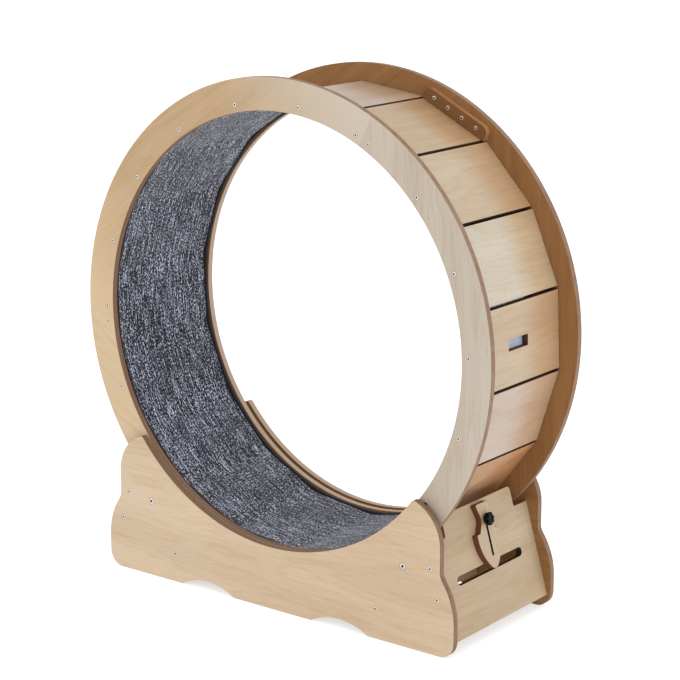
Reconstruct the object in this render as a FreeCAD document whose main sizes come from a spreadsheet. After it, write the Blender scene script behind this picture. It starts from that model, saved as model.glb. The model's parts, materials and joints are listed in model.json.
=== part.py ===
import FreeCAD, Part
import math
import os
import Sketcher
from FreeCAD import Placement, Rotation, Vector

# A cat exercise wheel: a drum of 18 boards between two rings, which runs on four grooved
# rollers in a low base. The base has two side panels, two leaning end boards and two rails.
# The frame stands on the floor: X runs to the right, Y to the back, Z up, and the origin is
# under the middle of the base. Wheel parts are drawn about the wheel's own axis.

# ---------------------------------------------------------------- driving dimensions

DIMENSIONS = [
    # the sheet material and the drum
    ("ply", 12.0),                  # thickness of every board
    ("ring_radius", 455.0),         # outer radius of the two rings
    ("ring_bore", 396.0),           # inner radius of the two rings
    ("drum_length", 262.0),         # between the rings' inner faces
    ("axle_height", 512.0),         # wheel centre above the floor
    ("board_apothem", 416.0),       # wheel centre to a running board's outer face
    ("board_width", 140.5),
    ("first_board", 2.7),           # angle of board 1 above the horizontal, in degrees
    ("lock_slot_length", 60.0),     # slot in board 1 for the brake plate, along the drum
    ("lock_slot_height", 20.0),
    ("carpet_gap", 0.1),            # between the boards and the mat's backing
    ("carpet_pile", 5.0),           # thickness of the mat
    ("carpet_inset", 1.0),          # from each ring to the mat's edge
    # plates that join the ring segments
    ("splice_length", 150.0),
    ("splice_width", 24.0),
    ("splice_gap", 0.5),            # from the board's outer face to the plate
    ("splice_corner", 14.0),
    ("splice_screw_pitch", 33.4),
    # side panels of the base
    ("panel_gap", 6.5),             # between a ring and the panel beside it
    ("saddle_radius", 394.0),       # the round cut-out that the wheel sits in
    ("tip_reach", 312.2),           # half the distance between the saddle's two tips
    ("tip_round", 6.0),
    ("shoulder_radius", 81.0),
    ("waist_reach", 370.0),         # half the panel's width at its waist
    ("waist_top", 318.0),           # drops are measured down from the wheel centre
    ("waist_bottom", 368.7),
    ("waist_round", 26.0),
    ("foot_radius", 130.6),
    ("foot_reach", 400.0),          # half the panel's greatest width
    ("foot_drop", 452.0),
    ("heel_round", 30.0),
    ("arch_inner", 90.0),           # the arches between the feet, from the middle
    ("arch_outer", 218.0),
    ("arch_radius", 129.0),
    # end boards
    ("lean", 16.2),                 # how far the end boards lean inwards, in degrees
    ("end_board_offset", 230.0),    # wheel centre to the end board's inner face
    ("end_board_top", 362.0),       # down the board from the wheel centre's foot on it
    ("end_board_bottom", 577.5),
    ("notch_side", 107.5),          # the notches that the rings dip into
    ("notch_bottom", 400.5),
    ("end_corner_round", 8.0),
    ("notch_round", 4.0),
    ("upper_screw_drop", 440.4),    # the screws into the end board's edge, down along it
    ("lower_screw_drop", 495.9),
    ("handle_drop", 481.0),
    ("handle_length", 204.0),
    ("handle_height", 16.5),
    # cross rails
    ("rail_reach", 233.7),
    ("rail_drop", 456.5),
    ("rail_height", 48.0),
    # rollers under the rings
    ("roller_reach", 292.0),
    ("roller_drop", 364.5),
    ("groove_radius", 11.7),
    ("flange_radius", 16.0),
    ("roller_width", 17.6),
    ("groove_width", 13.0),
    ("bearing_radius", 9.5),
    ("bearing_width", 6.0),
    ("axle_radius", 3.0),
    ("running_clearance", 0.05),
    # brake plate and its knob
    ("brake_gap", 0.2),             # between the end board and the brake plate
    ("brake_top", 366.5),
    ("brake_head_half", 20.5),
    ("brake_neck_half", 12.0),
    ("brake_neck_radius", 14.0),
    ("brake_neck_drop", 394.5),
    ("brake_neck_above", 20.0),     # degrees of the neck's arc above and below its middle
    ("brake_neck_below", 30.0),
    ("brake_step_half", 23.5),
    ("brake_half", 33.0),
    ("brake_step_drop", 417.5),
    ("brake_widest_drop", 424.0),
    ("brake_side_radius", 80.0),
    ("brake_side_end", 46.0),       # degrees of the side's arc, down from its widest place
    ("brake_tip_radius", 13.0),
    ("brake_corner_round", 3.0),
    ("brake_bolt_drop", 396.0),
    ("brake_bolt_radius", 2.5),
    ("brake_slot_travel", 64.0),
    ("brake_slot_width", 5.6),
    ("washer_thickness", 1.2),
    ("knob_height", 12.0),
    ("knob_radius", 9.0),
    ("knob_lobe_radius", 3.0),
    ("knob_cap", 2.0),              # solid top of the knob above its insert
    ("insert_radius", 4.0),
    ("bolt_head_flat", 3.0),
    ("bolt_head_radius", 5.5),
    ("bolt_head_height", 2.6),
    ("washer_radius", 5.0),
    # screws
    ("ring_screw_circle", 410.0),
    ("seam_screw_spacing", 29.4),   # the two screws either side of a ring seam
    ("ring_screw_radius", 2.0),
    ("ring_screw_head", 4.0),
    ("ring_screw_length", 40.0),
    ("splice_screw_radius", 1.75),
    ("splice_screw_head", 3.8),
    ("splice_screw_length", 20.0),
    ("base_screw_radius", 2.25),
    ("base_screw_head", 4.2),
    ("base_screw_length", 45.0),
    ("axle_head", 5.6),
    ("axle_length", 36.0),
    ("nut_length", 6.0),
    ("nut_corner_radius", 5.77),
    ("spacer_radius", 4.5),
    ("head_stand", 0.3),            # how far a countersunk head stands out of the face
]

BOARD_COUNT = 18
SEAM_COUNT = 3
BOARDS_PER_SEGMENT = BOARD_COUNT // SEAM_COUNT
BOARD_PITCH = 360.0 / BOARD_COUNT
SEGMENT_ANGLE = 360.0 / SEAM_COUNT
KNOB_LOBES = 7

# Small round parts have this many flats round them, with their corners on the true radius.
ROLLER_FLATS = 20
BOLT_FLATS = 10
SCREW_FLATS = 8
NUT_FLATS = 6

SNAP = 0.01     # how near a place must be to an edge's middle to name that edge

doc = FreeCAD.newDocument("cat_exercise_wheel")
sheet = doc.addObject("Spreadsheet::Sheet", "Sizes")
for row, (alias, number) in enumerate(DIMENSIONS, start=1):
    sheet.set(f"A{row}", alias)
    sheet.set(f"B{row}", str(number))
    sheet.setAlias(f"B{row}", alias)
doc.recompute()


class Size:
    """A number of the sheet, or one worked out from it, with the expression that binds it."""

    def __init__(self, number, text=None):
        self.number = float(number)
        self.text = text if text is not None else repr(float(number))

    def __add__(self, other):
        other = as_size(other)
        return Size(self.number + other.number, f"({self.text} + {other.text})")

    def __sub__(self, other):
        other = as_size(other)
        return Size(self.number - other.number, f"({self.text} - {other.text})")

    def __mul__(self, other):
        other = as_size(other)
        return Size(self.number * other.number, f"({self.text} * {other.text})")

    def __truediv__(self, other):
        other = as_size(other)
        return Size(self.number / other.number, f"({self.text} / {other.text})")

    def __neg__(self):
        return Size(-self.number, f"(-1 * {self.text})")


def as_size(value):
    return value if isinstance(value, Size) else Size(value)


def size(alias):
    """The sheet's number of that name, as a Size."""
    return Size(sheet.get(alias), f"Sizes.{alias}")


def cosine(degrees):
    angle = as_size(degrees)
    return Size(math.cos(math.radians(angle.number)), f"cos({angle.text} * 1 deg)")


def sine(degrees):
    angle = as_size(degrees)
    return Size(math.sin(math.radians(angle.number)), f"sin({angle.text} * 1 deg)")


def root(value):
    return Size(math.sqrt(value.number), f"sqrt({value.text})")


PLY = size("ply")
HALF_DRUM = size("drum_length") / 2
RING_FACE = HALF_DRUM + PLY
PANEL_INNER = RING_FACE + size("panel_gap")
PANEL_OUTER = PANEL_INNER + PLY

# ---------------------------------------------------------------- sketches and features


def add_body(label):
    body = doc.addObject("PartDesign::Body", label)
    body.Label = label
    return body


def add_sketch(body, name, plane, offset=None):
    """A sketch on one of the body's origin planes, moved along the plane's normal."""
    sketch = body.newObject("Sketcher::SketchObject", name)
    support = next(item for item in body.Origin.OriginFeatures if item.Role == plane)
    sketch.AttachmentSupport = (support, [""])
    sketch.MapMode = "FlatFace"
    if offset is not None:
        sketch.AttachmentOffset = Placement(Vector(0, 0, offset.number), Rotation())
        sketch.setExpression("AttachmentOffset.Base.z", offset.text)
    return sketch


def bind_constraint(sketch, constraint, value):
    index = sketch.addConstraint(constraint)
    sketch.setExpression(f"Constraints[{index}]", value.text)


def pin_across(sketch, geometry, point, value, upright=False):
    """Hold one coordinate of a sketch point: its x, or its y if upright."""
    if abs(value.number) < 1e-9:
        axis = -1 if upright else -2
        sketch.addConstraint(Sketcher.Constraint("PointOnObject", geometry, point, axis))
    else:
        kind = "DistanceY" if upright else "DistanceX"
        constraint = Sketcher.Constraint(kind, -1, 1, geometry, point, value.number)
        bind_constraint(sketch, constraint, value)


def pin(sketch, geometry, point, place):
    """Hold a point of the sketch at a place given as two Sizes."""
    pin_across(sketch, geometry, point, place[0])
    pin_across(sketch, geometry, point, place[1], upright=True)


def hold_radius(sketch, index, start, end, radius):
    """Fix an arc whose ends are pinned: by its radius, or by its centre for a half circle."""
    chord = math.hypot((end[0] - start[0]).number, (end[1] - start[1]).number)
    if chord < 1.9999 * radius.number:
        bind_constraint(sketch, Sketcher.Constraint("Radius", index, radius.number), radius)
        return
    level = abs((end[1] - start[1]).number) < 1e-9
    pin_across(sketch, index, 3, start[1] if level else start[0], upright=level)


def arc_between(start, end, radius, turn):
    """The short arc from start to end, counterclockwise for turn +1, clockwise for -1."""
    first = Vector(start[0].number, start[1].number, 0)
    last = Vector(end[0].number, end[1].number, 0)
    chord = last - first
    rise = math.sqrt(max(radius.number ** 2 - (chord.Length / 2) ** 2, 0.0))
    side = Vector(-chord.y, chord.x, 0).normalize()
    centre = (first + last) * 0.5 + side * (rise * turn)
    angles = [math.atan2(p.y - centre.y, p.x - centre.x) for p in (first, last)]
    if turn < 0:
        angles.reverse()
    if angles[1] < angles[0]:
        angles[1] += 2 * math.pi
    circle = Part.Circle(centre, Vector(0, 0, 1), radius.number)
    return Part.ArcOfCircle(circle, angles[0], angles[1])


def draw_outline(sketch, edges):
    """Draw a closed outline. An edge is (start, end), or (start, end, radius, turn) for an arc."""
    ends = []
    for edge in edges:
        if len(edge) == 2:
            points = [Vector(p[0].number, p[1].number, 0) for p in edge]
            index = sketch.addGeometry(Part.LineSegment(*points), False)
            ends.append((index, 1, 2))
        else:
            index = sketch.addGeometry(arc_between(*edge), False)
            ends.append((index, 1, 2) if edge[3] > 0 else (index, 2, 1))
    for this, following in zip(ends, ends[1:] + ends[:1]):
        sketch.addConstraint(
            Sketcher.Constraint("Coincident", this[0], this[2], following[0], following[1]))
    for (index, start, _), edge in zip(ends, edges):
        pin(sketch, index, start, edge[0])
        if len(edge) == 4:
            hold_radius(sketch, index, edge[0], edge[1], edge[2])


def draw_polygon(sketch, corners):
    draw_outline(sketch, list(zip(corners, corners[1:] + corners[:1])))


def draw_box(sketch, left, right, bottom, top):
    draw_polygon(sketch, [(left, bottom), (right, bottom), (right, top), (left, top)])


def draw_circles(sketch, places, radius):
    for place in places:
        centre = Vector(place[0].number, place[1].number, 0)
        index = sketch.addGeometry(Part.Circle(centre, Vector(0, 0, 1), radius.number), False)
        pin(sketch, index, 3, place)
        bind_constraint(sketch, Sketcher.Constraint("Radius", index, radius.number), radius)


def mirrored(edges):
    """The same edges on the other side of the upright axis, in the order that closes a loop."""
    flip = [((-end[0], end[1]), (-start[0], start[1]), *bend) for start, end, *bend in edges]
    return list(reversed(flip))


def add_pad(body, sketch, name, length, both_ways=False):
    pad = body.newObject("PartDesign::Pad", name)
    pad.Profile = sketch
    pad.setExpression("Length", length.text)
    if both_ways:
        pad.SideType = "Symmetric"
    sketch.Visibility = False
    return pad


def add_pocket(body, sketch, name, reverse=False):
    """Cut the sketch's outline through everything on the chosen side of its plane."""
    pocket = body.newObject("PartDesign::Pocket", name)
    pocket.Profile = sketch
    pocket.Type = "ThroughAll"
    pocket.Reversed = reverse
    return pocket


def add_revolution(body, sketch, name, angle=360.0, axis="V_Axis"):
    turned = body.newObject("PartDesign::Revolution", name)
    turned.Profile = sketch
    turned.ReferenceAxis = (sketch, [axis])
    turned.Angle = angle
    if angle < 360.0:
        turned.Midplane = True
    return turned


def add_fillet(body, base, name, radius, places):
    """Round the straight edges whose middles are at the given places."""
    doc.recompute()
    names = []
    for index, edge in enumerate(base.Shape.Edges, start=1):
        if any((edge.CenterOfMass - place).Length < SNAP for place in places):
            names.append(f"Edge{index}")
    if len(names) != len(places):
        raise RuntimeError(f"{name} found {len(names)} edges of {len(places)}")
    fillet = body.newObject("PartDesign::Fillet", name)
    fillet.Base = (base, names)
    fillet.setExpression("Radius", radius.text)
    return fillet


def polar(radius, degrees):
    return (radius * cosine(degrees), radius * sine(degrees))


def wheel_placement(degrees, y=0.0, flip=False):
    """A place about the wheel's axis, turned up from +X by the angle. A flip turns it over."""
    turn = Rotation(Vector(0, -1, 0), degrees)
    if flip:
        turn = turn * Rotation(Vector(1, 0, 0), 180)
    return Placement(Vector(0, y, size("axle_height").number), turn)


# ---------------------------------------------------------------- the drum


def seam_angle(number):
    """The ring seams lie behind the middle of boards 4, 10 and 16."""
    return size("first_board").number + SEGMENT_ANGLE / 2 + number * SEGMENT_ANGLE


def seam_screw_angle():
    """Half the angle between the two screws that hold a board across a ring seam."""
    half = size("seam_screw_spacing").number / 2
    return math.degrees(math.asin(half / size("ring_screw_circle").number))


def segment_screw_angles():
    """Screw angles in one ring segment, measured from the segment's middle."""
    half_segment = BOARDS_PER_SEGMENT // 2
    inner = [k * BOARD_PITCH for k in range(1 - half_segment, half_segment)]
    end = SEGMENT_ANGLE / 2 - seam_screw_angle()
    return [-end] + inner + [end]


def make_ring_segment(label, placement):
    body = add_body(label)
    section = add_sketch(body, label + "_section", "XY_Plane")
    draw_box(section, size("ring_bore"), size("ring_radius"), -PLY, Size(0))
    add_revolution(body, section, label + "_arc", SEGMENT_ANGLE)
    body.Placement = placement
    return body


def make_running_board(number):
    label = f"running_board_{number:02d}"
    body = add_body(label)
    outer = size("board_apothem")
    half_width = size("board_width") / 2
    section = add_sketch(body, label + "_section", "XZ_Plane")
    draw_box(section, outer - PLY, outer, -half_width, half_width)
    add_pad(body, section, label + "_plank", size("drum_length"), both_ways=True)
    if number == 1:
        slot = add_sketch(body, "lock_slot_outline", "YZ_Plane")
        half_length = size("lock_slot_length") / 2
        half_height = size("lock_slot_height") / 2
        draw_box(slot, -half_length, half_length, -half_height, half_height)
        add_pocket(body, slot, "lock_slot", reverse=True)
    body.Placement = wheel_placement(size("first_board").number + (number - 1) * BOARD_PITCH)
    return body


def splice_screw_places():
    distance = size("board_apothem") + size("splice_gap") + size("splice_width") / 2
    pitch = size("splice_screw_pitch")
    return [(distance, pitch * step) for step in (-1.5, -0.5, 0.5, 1.5)]


def make_splice_plate(label, placement):
    """A bar that bridges a ring seam on the ring's inner face, drawn with its outer face at -Y."""
    body = add_body(label)
    inner = size("board_apothem") + size("splice_gap")
    outer = inner + size("splice_width")
    half = size("splice_length") / 2
    corner = size("splice_corner")
    right = [
        ((outer, Size(0)), (outer, half - corner)),
        ((outer, half - corner), (outer - corner, half), corner, 1),
        ((outer - corner, half), (inner, half)),
    ]
    edges = right + [((inner, half), (inner, -half))]
    edges += [
        ((inner, -half), (outer - corner, -half)),
        ((outer - corner, -half), (outer, corner - half), corner, 1),
        ((outer, corner - half), (outer, Size(0))),
    ]
    outline = add_sketch(body, label + "_outline", "XZ_Plane")
    draw_outline(outline, edges)
    add_pad(body, outline, label + "_bar", PLY)
    body.Placement = placement
    return body


def make_carpet():
    """The detachable mat: one closed band of flats, as many as there are boards."""
    body = add_body("carpet")
    outer = size("board_apothem") - PLY - size("carpet_gap")
    inner = outer - size("carpet_pile")
    half_pitch = Size(BOARD_PITCH / 2)
    section = add_sketch(body, "carpet_section", "XZ_Plane")
    for apothem in (outer, inner):
        reach = apothem / cosine(half_pitch)
        corners = [polar(reach, BOARD_PITCH * (k + 0.5)) for k in range(BOARD_COUNT)]
        draw_polygon(section, corners)
    length = size("drum_length") - size("carpet_inset") * 2
    add_pad(body, section, "carpet_band", length, both_ways=True)
    body.Placement = wheel_placement(size("first_board").number)
    return body


# ---------------------------------------------------------------- the base


def side_panel_edges():
    """The outline of a side panel about the wheel centre, clockwise from the right-hand tip."""
    saddle = size("saddle_radius")
    tip_x = size("tip_reach")
    floor = -size("axle_height")
    tip = (tip_x, -root(saddle * saddle - tip_x * tip_x))
    waist_top = (size("waist_reach"), -size("waist_top"))
    waist_bottom = (size("waist_reach"), -size("waist_bottom"))
    widest = (size("foot_reach"), -size("foot_drop"))
    heel = (size("foot_reach"), floor)
    arch_outer = (size("arch_outer"), floor)
    arch_inner = (size("arch_inner"), floor)
    right = [
        (tip, waist_top, size("shoulder_radius"), -1),
        (waist_top, waist_bottom),
        (waist_bottom, widest, size("foot_radius"), -1),
        (widest, heel),
        (heel, arch_outer),
        (arch_outer, arch_inner, size("arch_radius"), 1),
    ]
    sole = (arch_inner, (-arch_inner[0], floor))
    saddle_edge = ((-tip[0], tip[1]), tip, saddle, 1)
    return right + [sole] + mirrored(right) + [saddle_edge]


def end_screw_places():
    """Two screws into each end board's edge, on the board's middle plane."""
    middle = size("end_board_offset") + PLY / 2
    places = []
    for name in ("upper_screw_drop", "lower_screw_drop"):
        drop = size(name)
        x = middle * cosine(size("lean")) + drop * sine(size("lean"))
        z = middle * sine(size("lean")) - drop * cosine(size("lean"))
        places += [(x, z), (-x, z)]
    return places


def rail_screw_places():
    return [(size("rail_reach") * side, -size("rail_drop")) for side in (1, -1)]


def make_side_panel(label, placement):
    body = add_body(label)
    outline = add_sketch(body, label + "_outline", "XZ_Plane")
    draw_outline(outline, side_panel_edges())
    blank = add_pad(body, outline, label + "_blank", PLY)
    tip_z = -math.sqrt(size("saddle_radius").number ** 2 - size("tip_reach").number ** 2)
    middle = -PLY.number / 2
    rounds = [
        ("tips", "tip_round", size("tip_reach").number, tip_z),
        ("waist", "waist_round", size("waist_reach").number, -size("waist_bottom").number),
        ("heels", "heel_round", size("foot_reach").number, -size("axle_height").number),
    ]
    last = blank
    for name, radius, x, z in rounds:
        places = [Vector(x, middle, z), Vector(-x, middle, z)]
        last = add_fillet(body, last, f"{label}_{name}", size(radius), places)
    body.Placement = placement
    return body


def end_board_placement(right):
    """The end board's own frame: X out of the board, Z up along it, about the wheel centre."""
    lean = Rotation(Vector(0, -1, 0), size("lean").number)
    if not right:
        lean = Rotation(Vector(0, 0, 1), 180) * lean
    return Placement(Vector(0, 0, size("axle_height").number), lean)


def make_end_board(label, right):
    body = add_body(label)
    top = -size("end_board_top")
    bottom = -size("end_board_bottom")
    notch = -size("notch_bottom")
    half = [
        ((size("notch_side"), top), (size("notch_side"), notch)),
        ((size("notch_side"), notch), (PANEL_INNER, notch)),
        ((PANEL_INNER, notch), (PANEL_INNER, bottom)),
    ]
    base = ((PANEL_INNER, bottom), (-PANEL_INNER, bottom))
    top_edge = ((-size("notch_side"), top), (size("notch_side"), top))
    outline = add_sketch(body, label + "_outline", "YZ_Plane", size("end_board_offset"))
    draw_outline(outline, half + [base] + mirrored(half) + [top_edge])
    blank = add_pad(body, outline, label + "_blank", PLY)
    x = size("end_board_offset").number + PLY.number / 2
    y = size("notch_side").number
    corners = [Vector(x, side * y, top.number) for side in (1, -1)]
    rounded = add_fillet(body, blank, label + "_corners", size("end_corner_round"), corners)
    inner = [Vector(x, side * y, notch.number) for side in (1, -1)]
    add_fillet(body, rounded, label + "_notch_rounds", size("notch_round"), inner)
    doc.recompute()
    radius = size("handle_height") / 2
    straight = size("handle_length") / 2 - radius
    low = -size("handle_drop") - radius
    high = -size("handle_drop") + radius
    handle = add_sketch(body, label + "_handle_outline", "YZ_Plane")
    draw_outline(handle, [
        ((-straight, low), (straight, low)),
        ((straight, low), (straight, high), radius, 1),
        ((straight, high), (-straight, high)),
        ((-straight, high), (-straight, low), radius, 1),
    ])
    add_pocket(body, handle, label + "_handle", reverse=True)
    if right:
        bolt = add_sketch(body, "brake_bolt_place", "YZ_Plane")
        place = (Size(0), -size("brake_bolt_drop"))
        draw_circles(bolt, [place], size("brake_bolt_radius") + size("running_clearance") * 2)
        add_pocket(body, bolt, "brake_bolt_hole", reverse=True)
    body.Placement = end_board_placement(right)
    return body


def make_cross_rail(label, side):
    body = add_body(label)
    section = add_sketch(body, label + "_section", "XZ_Plane")
    half_height = size("rail_height") / 2
    draw_box(section, -PLY / 2, PLY / 2, -half_height, half_height)
    add_pad(body, section, label + "_rail", PANEL_INNER * 2, both_ways=True)
    place = Vector(side * size("rail_reach").number, 0,
                   size("axle_height").number - size("rail_drop").number)
    body.Placement = Placement(place, Rotation())
    return body


# ---------------------------------------------------------------- rollers


def draw_flats(sketch, radius, flats):
    """A regular polygon with its corners on the radius."""
    draw_polygon(sketch, [polar(radius, 360.0 * k / flats) for k in range(flats)])


def clear_of(radius, flats):
    """The corner radius of a hole with flats in which a round of the given radius can turn."""
    return (radius + size("running_clearance")) / cosine(180.0 / flats)


def add_taper(body, pad, name, slope):
    """Lean the sides of an upright prism outwards by the slope, or inwards where it is negative."""
    doc.recompute()
    sides = []
    for index, face in enumerate(pad.Shape.Faces, start=1):
        up = face.normalAt(0, 0).y
        if abs(up) < 0.5:
            sides.append(f"Face{index}")
        elif up < 0:
            foot = f"Face{index}"
    taper = body.newObject("PartDesign::Draft", name)
    taper.Base = (pad, sides)
    taper.NeutralPlane = (pad, [foot])
    taper.Angle = math.degrees(abs(slope))
    taper.Reversed = slope > 0


def make_round_part(label, steps, flats, placement, bore=None, round_bore=False):
    """A part built up along its own Y axis, in steps of (first radius, last radius, start, end)."""
    body = add_body(label)
    for number, (first, last, start, end) in enumerate(steps, start=1):
        name = f"{label}_step_{number}"
        outline = add_sketch(body, name + "_outline", "XZ_Plane", -start)
        draw_flats(outline, first, flats)
        pad = add_pad(body, outline, name, end - start)
        pad.Reversed = True
        rise = (last - first).number * math.cos(math.pi / flats)
        if rise:
            add_taper(body, pad, name + "_taper", math.atan2(rise, (end - start).number))
    if bore is not None:
        doc.recompute()
        hole = add_sketch(body, label + "_bore_outline", "XZ_Plane", -steps[0][2])
        if round_bore:
            draw_circles(hole, [(Size(0), Size(0))], bore)
        else:
            draw_flats(hole, bore, max(flats, BOLT_FLATS))
        add_pocket(body, hole, label + "_bore")
    body.Placement = placement
    doc.recompute()
    return body


def roller_placement(side, face):
    """side is +1 at the right and -1 at the left, face is +1 at the back and -1 in front."""
    y = face * (HALF_DRUM + PLY / 2).number
    z = size("axle_height").number - size("roller_drop").number
    return Placement(Vector(side * size("roller_reach").number, y, z), Rotation())


def make_roller(side, face):
    """A grooved tyre and the ball bearing in it."""
    corner = ("front" if face < 0 else "rear") + ("_left" if side < 0 else "_right")
    half = size("roller_width") / 2
    groove = size("groove_width") / 2
    flange = size("flange_radius")
    root_radius = size("groove_radius")
    tyre = [(flange, flange, -half, -groove), (root_radius, root_radius, -groove, groove),
            (flange, flange, groove, half)]
    outer = size("bearing_radius")
    width = size("bearing_width") / 2
    place = roller_placement(side, face)
    return [
        make_round_part("roller_tyre_" + corner, tyre, ROLLER_FLATS, place,
                        outer + size("running_clearance")),
        make_round_part("roller_bearing_" + corner, [(outer, outer, -width, width)],
                        ROLLER_FLATS, place, size("axle_radius") + size("running_clearance"),
                        round_bore=True),
    ]


# ---------------------------------------------------------------- brake


def make_brake_plate():
    body = add_body("brake_plate")
    head = size("brake_head_half")
    neck = size("brake_neck_radius")
    neck_x = size("brake_neck_half") + neck
    neck_z = -size("brake_neck_drop")
    top = -size("brake_top")
    step = -size("brake_step_drop")
    side = size("brake_side_radius")
    rise = size("brake_neck_above")
    fall = size("brake_neck_below")
    sweep = size("brake_side_end")
    above = (neck_x - neck * cosine(rise), neck_z + neck * sine(rise))
    below = (neck_x - neck * cosine(fall), neck_z - neck * sine(fall))
    lowest = (size("brake_half") - side + side * cosine(sweep),
              -size("brake_widest_drop") - side * sine(sweep))
    right = [
        ((head, top), above),
        (above, below, neck, 1),
        (below, (size("brake_step_half"), step)),
        ((size("brake_step_half"), step), (size("brake_half"), step)),
        ((size("brake_half"), step), lowest, side, -1),
    ]
    tip = (lowest, (-lowest[0], lowest[1]), size("brake_tip_radius"), -1)
    back = size("end_board_offset") + PLY + size("brake_gap")
    outline = add_sketch(body, "brake_outline", "YZ_Plane", back)
    draw_outline(outline, right + [tip] + mirrored(right) + [((-head, top), (head, top))])
    blank = add_pad(body, outline, "brake_blank", PLY)
    middle = (back + PLY / 2).number
    corners = [Vector(middle, sign * head.number, top.number) for sign in (1, -1)]
    corners += [Vector(middle, sign * size("brake_half").number, step.number) for sign in (1, -1)]
    add_fillet(body, blank, "brake_corners", size("brake_corner_round"), corners)
    doc.recompute()
    slot = add_sketch(body, "brake_slot_outline", "YZ_Plane")
    radius = size("brake_slot_width") / 2
    high = -size("brake_bolt_drop")
    low = high - size("brake_slot_travel")
    draw_outline(slot, [
        ((radius, low), (radius, high)),
        ((radius, high), (-radius, high), radius, 1),
        ((-radius, high), (-radius, low)),
        ((-radius, low), (radius, low), radius, 1),
    ])
    add_pocket(body, slot, "brake_slot", reverse=True)
    body.Placement = end_board_placement(True)
    return body


def bolt_placement(out):
    """A place on the brake bolt's axis, with Y pointing out of the end board."""
    frame = end_board_placement(True)
    along = Placement(Vector(out.number, 0, -size("brake_bolt_drop").number),
                      Rotation(Vector(0, 0, 1), -90))
    return frame.multiply(along)


def make_brake_fittings():
    """The coach bolt through the end board, and the washer and knob on it."""
    shank = size("brake_bolt_radius")
    board = size("end_board_offset")
    plate_face = PLY * 2 + size("brake_gap") * 2
    knob_face = plate_face + size("washer_thickness") + size("brake_gap")
    insert_length = size("knob_height") - size("knob_cap")
    bolt = [(size("bolt_head_flat"), size("bolt_head_radius"), -size("bolt_head_height"), Size(0)),
            (shank, shank, Size(0), knob_face + insert_length)]
    washer = size("washer_radius")
    insert = size("insert_radius")
    bore = clear_of(shank, BOLT_FLATS)
    washer_place = bolt_placement(board + plate_face)
    knob_place = bolt_placement(board + knob_face)
    return [
        make_round_part("brake_bolt", bolt, BOLT_FLATS, bolt_placement(board)),
        make_round_part("brake_washer", [(washer, washer, Size(0), size("washer_thickness"))],
                        BOLT_FLATS, washer_place, bore),
        make_round_part("knob_insert", [(insert, insert, Size(0), insert_length)],
                        BOLT_FLATS, knob_place, bore),
        make_knob(knob_place),
    ]


def make_knob(placement):
    """A star knob: a drum with lobes round it and a blind hole for its insert."""
    body = add_body("brake_knob")
    height = size("knob_height")
    drum = add_sketch(body, "knob_drum_outline", "XZ_Plane")
    draw_circles(drum, [(Size(0), Size(0))], size("knob_radius"))
    add_pad(body, drum, "knob_drum", height).Reversed = True
    lobe_sketch = add_sketch(body, "knob_lobe_outline", "XZ_Plane")
    draw_circles(lobe_sketch, [(size("knob_radius"), Size(0))], size("knob_lobe_radius"))
    lobe = add_pad(body, lobe_sketch, "knob_lobe", height)
    lobe.Reversed = True
    doc.recompute()
    star = body.newObject("PartDesign::PolarPattern", "knob_star")
    star.Originals = [lobe]
    star.Axis = (drum, ["N_Axis"])
    star.Angle = 360.0
    star.Occurrences = KNOB_LOBES
    body.Tip = star
    doc.recompute()
    hole = add_sketch(body, "knob_hole_outline", "XZ_Plane")
    draw_flats(hole, size("insert_radius") + size("running_clearance"), BOLT_FLATS)
    bore = body.newObject("PartDesign::Pocket", "knob_hole")
    bore.Profile = hole
    depth = height - size("knob_cap") + size("running_clearance")
    bore.setExpression("Length", depth.text)
    body.Placement = placement
    return body


# ---------------------------------------------------------------- screws, bolts and nuts


def make_screw_pattern(label, head, shank, length, flats):
    """A countersunk screw along the Y axis, its head's top face at y = 0, pointing to +Y."""
    head_depth = (head - shank) * cosine(180.0 / flats)
    steps = [(head, shank, Size(0), head_depth), (shank, shank, head_depth, length)]
    return make_round_part(label, steps, flats, Placement())


def make_group(label, pattern, placements):
    """Separate copies of one fastener, kept together as one named part."""
    doc.recompute()
    copies = [pattern.Shape.transformed(place.toMatrix(), True) for place in placements]
    group = doc.addObject("Part::Feature", label)
    group.Label = label
    group.Shape = Part.makeCompound(copies)
    group.Placement = Placement()
    return group


def facing(x, y, z, back):
    """A place whose +Y points into the object: from the front, or from the back if asked."""
    turn = Rotation(Vector(0, 0, 1), 180) if back else Rotation()
    return Placement(Vector(x, y, z), turn)


def about_axle(radius, degrees, y, back):
    angle = math.radians(degrees)
    x = radius * math.cos(angle)
    z = size("axle_height").number + radius * math.sin(angle)
    return facing(x, y, z, back)


def make_drum_screws():
    stand = size("head_stand").number
    circle = size("ring_screw_circle").number
    pattern = make_screw_pattern("ring_screw_pattern", size("ring_screw_head"),
                                 size("ring_screw_radius"), size("ring_screw_length"), SCREW_FLATS)
    middles = [seam_angle(k) - SEGMENT_ANGLE / 2 for k in range(SEAM_COUNT)]
    angles = [middle + angle for middle in middles for angle in segment_screw_angles()]
    groups = []
    for name, back, sign in (("front", False, -1), ("rear", True, 1)):
        face = sign * (RING_FACE.number + stand)
        places = [about_axle(circle, angle, face, back) for angle in angles]
        groups.append(make_group("ring_screws_" + name, pattern, places))

    pattern = make_screw_pattern("splice_screw_pattern", size("splice_screw_head"),
                                 size("splice_screw_radius"), size("splice_screw_length"),
                                 SCREW_FLATS)
    for name, back, sign in (("front", True, -1), ("rear", False, 1)):
        face = sign * (HALF_DRUM.number - PLY.number - stand)
        places = []
        for seam in range(SEAM_COUNT):
            for out, along in splice_screw_places():
                radius = math.hypot(out.number, along.number)
                tilt = math.degrees(math.atan2(along.number, out.number))
                places.append(about_axle(radius, seam_angle(seam) + tilt, face, back))
        groups.append(make_group("splice_screws_" + name, pattern, places))
    return groups


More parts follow.
